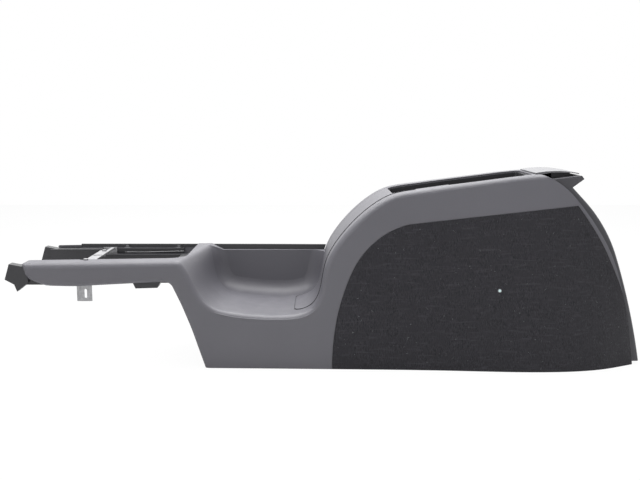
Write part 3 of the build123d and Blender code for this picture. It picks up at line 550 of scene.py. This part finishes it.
def seen_point(studio, surface, column, row):
    """Where the line of sight through a pixel of the photograph meets a surface, and its normal there."""
    focal = studio.lens / SENSOR_WIDTH * PHOTO_WIDTH
    ahead = Vector((0.0, math.cos(studio.pitch), -math.sin(studio.pitch)))
    above = Vector((0.0, math.sin(studio.pitch), math.cos(studio.pitch)))
    aside = Vector((column - PHOTO_WIDTH / 2, 0.0, 0.0))
    sight = ahead * focal + aside + above * (PHOTO_HEIGHT / 2 - row)
    eye = Vector((studio.side, -studio.distance, studio.height))
    return surface.ray_cast(eye, sight.normalized())[:2]


def line_on(studio, surface, pixels, lift):
    """Points on a surface under a line of pixels, each moved along the surface's normal by the lift."""
    places = []
    for (column, row), (next_column, next_row) in zip(pixels, pixels[1:]):
        steps = max(1, round(math.hypot(next_column - column, next_row - row) / LINE_STEP))
        for step in range(steps):
            share = step / steps
            places.append((column + (next_column - column) * share, row + (next_row - row) * share))
    places.append(pixels[-1])
    found = [seen_point(studio, surface, column, row) for column, row in places]
    line = [place + normal * lift for place, normal in found if place is not None]
    for _ in range(LINE_SMOOTHING):
        inner = [(a + b * 2 + c) / 4 for a, b, c in zip(line, line[1:], line[2:])]
        line = [line[0], *inner, line[-1]]
    return line


def tubes(name, lines, radius, roundness, material, slot):
    """One piece of thin round tubes along smooth lines."""
    curve = bpy.data.curves.new(name, "CURVE")
    curve.dimensions = "3D"
    curve.bevel_depth = radius
    curve.bevel_resolution = roundness
    curve.use_fill_caps = True
    for line in lines:
        spline = curve.splines.new("NURBS")
        spline.points.add(len(line) - 1)
        for point, place in zip(spline.points, line):
            point.co = (*place, 1.0)
        spline.order_u = 3
        spline.use_endpoint_u = True
        spline.resolution_u = 2
    holder = bpy.data.objects.new(name + "_path", curve)
    mesh = bmesh.new()
    mesh.from_mesh(bpy.data.meshes.new_from_object(holder))
    bpy.data.objects.remove(holder)
    bmesh.ops.remove_doubles(mesh, verts=mesh.verts, dist=TUBE_MERGE)
    bmesh.ops.recalc_face_normals(mesh, faces=mesh.faces)
    made = piece(name, mesh, material, slot)
    shade_smooth(made, TUBE_SMOOTH)
    return made


# Pieces

class OBJECT_OT_console_plastics(bpy.types.Operator):
    """Gives the moulded pieces their grained plastic"""
    bl_idname = "object.console_plastics"
    bl_label = "Moulded plastics"

    def execute(self, context):
        colours = context.scene.console_colours
        sizes = context.scene.console_sizes
        shell = plastic("grained_grey_plastic", colours.shell, sizes, roughness=0.47, shade=0.3, dust=0.05)
        cover = plastic("grained_cover_plastic", colours.cover, sizes, roughness=0.46, shade=0.3, dust=0.04)
        black = plastic("satin_black_plastic", colours.black, sizes,
                        roughness=0.38, shade=0.2, dust=0.03, cell=0.6, depth=0.5)
        cap = plastic("rubbed_cap_plastic", colours.cap, sizes, roughness=0.4, shade=0.3, dust=0.1)
        for name in ("console_shell", "ramp_cover"):
            dress(name, shell)
        dress("hinge_cap", cap)
        dress("rear_cover", cover)
        for name in ("storage_bin", "front_carrier", "rim_strip_front", "rim_strip_rear"):
            dress(name, black)
        return {"FINISHED"}


class OBJECT_OT_console_lines(bpy.types.Operator):
    """Adds the fine lines of the mouldings: the ramp panel's seams as dark lines of painted shade, the rim's
    rib, and the rail's ledges with a painted highlight
    """
    bl_idname = "object.console_lines"
    bl_label = "Seams, rib and ledges"

    def execute(self, context):
        colours = context.scene.console_colours
        sizes = context.scene.console_sizes
        studio = context.scene.console_studio
        shell = bpy.data.materials["grained_grey_plastic"]
        # The seam's material is painted shade: a near-black matte line laid where the groove beside the ramp
        # panel lies in shadow
        gap = plastic("seam_painted_shade", colours.gap, sizes, roughness=0.9, shade=0.2, dust=0.0, specular=0.1)
        seams = [self.panel_edge(outward, sizes.seam_radius * SEAM_SUNK[side])
                 for side, outward in OUTWARD.items()]
        tubes("ramp_seam_painted_shade", seams, sizes.seam_radius, LINE_ROUNDNESS, gap, "grey_plastic")
        body = surface_of("console_shell", "ramp_cover")
        rib = line_on(studio, body, RIM_RIB_PIXELS, -RIB_SUNK * sizes.rib_radius)
        tubes("tray_rim_rib", [rib], sizes.rib_radius, LINE_ROUNDNESS, shell, "grey_plastic")
        rail = surface_of("console_shell", "front_carrier")
        ledges = [line_on(studio, rail, pixels, 0.0) for pixels in (LOW_LEDGE_PIXELS, HIGH_LEDGE_PIXELS)]
        # The ledges' pale colour is a painted highlight along their lit edges
        painted_ledge_highlight = plastic("ledge_painted_highlight_plastic", colours.ledge, sizes, roughness=0.3, shade=0.2, dust=0.1)
        tubes("rail_ledges", ledges, sizes.ledge_radius, LINE_ROUNDNESS, painted_ledge_highlight, "grey_plastic")
        return {"FINISHED"}

    def panel_edge(self, outward, sunk):
        """The upper edge of the ramp panel on one side, moved into the middle of its groove."""
        mesh = merged_copy("ramp_cover")
        places = []
        for edge in mesh.edges:
            normals = [face.normal for face in edge.link_faces]
            walls = [n for n in normals if abs(n.z) < WALL_UP_MOST and n.y * outward > WALL_OUTWARD_LEAST]
            skins = [n for n in normals if abs(n.y) < SKIN_ASIDE_MOST and n.z - n.x > SKIN_UP_LEAST]
            if len(walls) == 1 and len(skins) == 1:
                for vertex in [v for v in edge.verts if v.co.y * outward > 0.0]:
                    places.append(vertex.co + walls[0] * SEAM_GROOVE / 2 - skins[0] * sunk)
        mesh.free()
        places.sort(key=lambda place: place.x + place.z)
        line = [places[0]]
        for place in places:
            if (place - line[-1]).length > SEAM_STEP:
                line.append(place)
        return line


class OBJECT_OT_console_felts(bpy.types.Operator):
    """Makes the needle felt panels on both sides, with lint, and dresses their push pins"""
    bl_idname = "object.console_felts"
    bl_label = "Felt panels"

    def execute(self, context):
        colours = context.scene.console_colours
        sizes = context.scene.console_sizes
        cloth = felt("needle_felt", colours.felt, colours.lint, sizes.felt_fibre)
        pin = pin_head("pale_pin_plastic", colours.pin, colours.felt, "left_carpet_pin")
        for side, outward in OUTWARD.items():
            mesh = merged_copy(f"{side}_carpet")
            self.reach_back(mesh, outward)
            panel = piece(f"{side}_felt", mesh, cloth, "carpet", f"{side}_carpet")
            shade_smooth(panel, FELT_SMOOTH)
            soften = panel.modifiers.new("cut_edge", "BEVEL")
            soften.width = sizes.felt_edge
            soften.segments = FELT_CUT_SEGMENTS
            soften.limit_method = "ANGLE"
            soften.angle_limit = FELT_CUT
            self.lint(side, outward, colours, sizes)
            dress(f"{side}_carpet_pin", pin)
        return {"FINISHED"}

    def reach_back(self, mesh, outward):
        """Lets the low part of the felt's rear edge reach towards the end of the wall that it is glued to."""
        wall = surface_of("console_shell")
        inward = Vector((0.0, -outward, 0.0))
        rear = [vertex for vertex in mesh.verts if vertex.co.x > FELT_REAR
                and any(face.normal.x > FELT_REAR_FACING for face in vertex.link_faces)]
        for vertex in rear:
            share = min(1.0, max(0.0, (FELT_REACH_TOP - vertex.co.z) / (FELT_REACH_TOP - FELT_REACH_LOW)))
            reach = FELT_REACH * share * share * (3.0 - 2.0 * share)
            start = Vector((vertex.co.x, outward, vertex.co.z))
            here = wall.ray_cast(start, inward)[0]
            there = None
            while reach > 0.0 and there is None:
                there = wall.ray_cast(start + Vector((reach, 0.0, 0.0)), inward)[0]
                reach -= FELT_STEP
            if here is not None and there is not None:
                vertex.co += there - here

    def lint(self, side, outward, colours, sizes):
        """Short pale fibres that lie on the outer face of one panel."""
        chance = random.Random(LINT_SEED[side])
        felt_face = surface_of(f"{side}_carpet")
        low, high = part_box(f"{side}_carpet")
        inward = Vector((0.0, -outward, 0.0))
        fibres = []
        while len(fibres) < sizes.lint_count:
            place = Vector((chance.uniform(low.x, high.x), outward, chance.uniform(low.z, high.z)))
            turn = chance.uniform(0.0, math.tau)
            half = sizes.lint_length * chance.uniform(*LINT_HALF)
            bend = chance.uniform(-LINT_BEND, LINT_BEND)
            line = []
            for share in (-1.0, 0.0, 1.0):
                angle = turn + bend * share
                start = place + Vector((math.cos(angle), 0.0, math.sin(angle))) * half * share
                hit = felt_face.ray_cast(start, inward)[0]
                if hit is not None and abs(hit.y) > LINT_NEAREST:
                    line.append(hit)
            if len(line) == 3:
                fibres.append(line)
        pale = felt(f"{side}_lint_fibre", colours.lint, colours.lint, sizes.felt_fibre)
        tubes(f"{side}_lint", fibres, sizes.lint_radius, LINT_ROUNDNESS, pale, "carpet")


class OBJECT_OT_console_metal(bpy.types.Operator):
    """Gives the strap, brackets, clips and screws their plated or coated steel"""
    bl_idname = "object.console_metal"
    bl_label = "Metalwork"

    def execute(self, context):
        colours = context.scene.console_colours
        zinc = plated("zinc_plated_steel", colours.zinc, roughness=0.34)
        spring = plated("spring_steel", colours.spring, roughness=0.34)
        coated = plated("black_coated_steel", colours.black, roughness=0.4, metallic=0.0)
        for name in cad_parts:
            if name.startswith("trim_clip"):
                dress(name, spring)
            elif name == "bridge_bracket" or "screw" in name:
                dress(name, zinc)
            elif name == "armrest_bracket" or name.endswith("floor_bracket"):
                dress(name, coated)
        return {"FINISHED"}


class OBJECT_OT_console_studio(bpy.types.Operator):
    """Sets the pale floor, the soft studio light and the camera"""
    bl_idname = "object.console_studio"
    bl_label = "Studio"

    def execute(self, context):
        studio = context.scene.console_studio
        scene = context.scene
        scene.view_settings.view_transform = "Standard"
        self.floor(scene)
        self.room(scene, studio.world)
        powers = {"top_lamp": studio.top, "back_lamp": studio.back, "front_lamp": studio.front}
        for name, power in powers.items():
            self.lamp(scene, name, power)
        camera = bpy.data.cameras.new("camera")
        camera.lens = studio.lens
        camera.sensor_width = SENSOR_WIDTH
        camera.clip_start = CAMERA_NEAR
        camera.clip_end = CAMERA_FAR
        seat = bpy.data.objects.new("camera", camera)
        scene.collection.objects.link(seat)
        seat.location = (studio.side, -studio.distance, studio.height)
        seat.rotation_euler = (math.pi / 2 - studio.pitch, 0.0, 0.0)
        scene.camera = seat
        return {"FINISHED"}

    def floor(self, scene):
        """A wide pale floor that shows white to the camera apart from the console's shadow."""
        mesh = bmesh.new()
        bmesh.ops.create_grid(mesh, x_segments=1, y_segments=1, size=FLOOR_HALF)
        data = bpy.data.meshes.new("floor")
        mesh.to_mesh(data)
        mesh.free()
        made = bpy.data.objects.new("floor", data)
        scene.collection.objects.link(made)
        material, tree, shader = new_material("studio_floor")
        shader.inputs["Base Color"].default_value = FLOOR_COLOUR
        shader.inputs["Roughness"].default_value = 0.9
        shader.inputs["Specular IOR Level"].default_value = 0.0
        glow = node(tree, "ShaderNodeEmission", {"Color": WHITE, "Strength": 1.0})
        path = node(tree, "ShaderNodeLightPath")
        seen = greater(tree, path.outputs["Is Camera Ray"], path.outputs["Is Glossy Ray"])
        links = {0: times(tree, seen, FLOOR_GLOW), 1: shader.outputs[0], 2: glow.outputs[0]}
        mix = node(tree, "ShaderNodeMixShader", links)
        feed(tree.nodes["Material Output"], "Surface", mix.outputs[0])
        data.materials.append(material)

    def room(self, scene, strength):
        """An even white room: white to the camera and in reflections, softer as a light."""
        world = bpy.data.worlds.new("studio_room")
        scene.world = world
        world.use_nodes = True
        tree = world.node_tree
        path = node(tree, "ShaderNodeLightPath")
        seen = greater(tree, path.outputs["Is Camera Ray"], path.outputs["Is Glossy Ray"])
        seen = greater(tree, seen, path.outputs["Is Transmission Ray"])
        level = node(tree, "ShaderNodeMapRange", {0: seen, 1: 0.0, 2: 1.0, 3: strength, 4: 1.0}).outputs[0]
        back = tree.nodes["Background"]
        back.inputs["Color"].default_value = WHITE
        feed(back, "Strength", level)

    def lamp(self, scene, name, power):
        """A square soft lamp that looks at a point."""
        place, target, width = LAMPS[name]
        light = bpy.data.lights.new(name, "AREA")
        light.size = width
        light.energy = power
        made = bpy.data.objects.new(name, light)
        scene.collection.objects.link(made)
        made.visible_camera = False
        made.location = place
        aim = Vector(target) - Vector(place)
        made.rotation_euler = aim.to_track_quat("-Z", "Y").to_euler()


class VIEW3D_PT_console(bpy.types.Panel):
    """Sizes, colours and steps of the console"""
    bl_label = "Center console"
    bl_space_type = "VIEW_3D"
    bl_region_type = "UI"
    bl_category = "Console"

    def draw(self, context):
        scene = context.scene
        for group in (scene.console_colours, scene.console_sizes, scene.console_studio):
            box = self.layout.box()
            for key in group.__annotations__:
                box.prop(group, key)
        for operator in OPERATORS:
            self.layout.operator(operator.bl_idname)


OPERATORS = (
    OBJECT_OT_console_plastics,
    OBJECT_OT_console_lines,
    OBJECT_OT_console_felts,
    OBJECT_OT_console_metal,
    OBJECT_OT_console_studio,
)
CLASSES = (ConsoleColours, ConsoleSizes, StudioSettings, *OPERATORS, VIEW3D_PT_console)


def register():
    for entry in CLASSES:
        bpy.utils.register_class(entry)
    bpy.types.Scene.console_colours = PointerProperty(type=ConsoleColours)
    bpy.types.Scene.console_sizes = PointerProperty(type=ConsoleSizes)
    bpy.types.Scene.console_studio = PointerProperty(type=StudioSettings)


def unregister():
    del bpy.types.Scene.console_studio
    del bpy.types.Scene.console_sizes
    del bpy.types.Scene.console_colours
    for entry in reversed(CLASSES):
        bpy.utils.unregister_class(entry)


def main():
    """Registers the add-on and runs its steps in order."""
    register()
    bpy.ops.object.console_plastics()
    bpy.ops.object.console_lines()
    bpy.ops.object.console_felts()
    bpy.ops.object.console_metal()
    bpy.ops.object.console_studio()


if __name__ == "__main__":
    main()
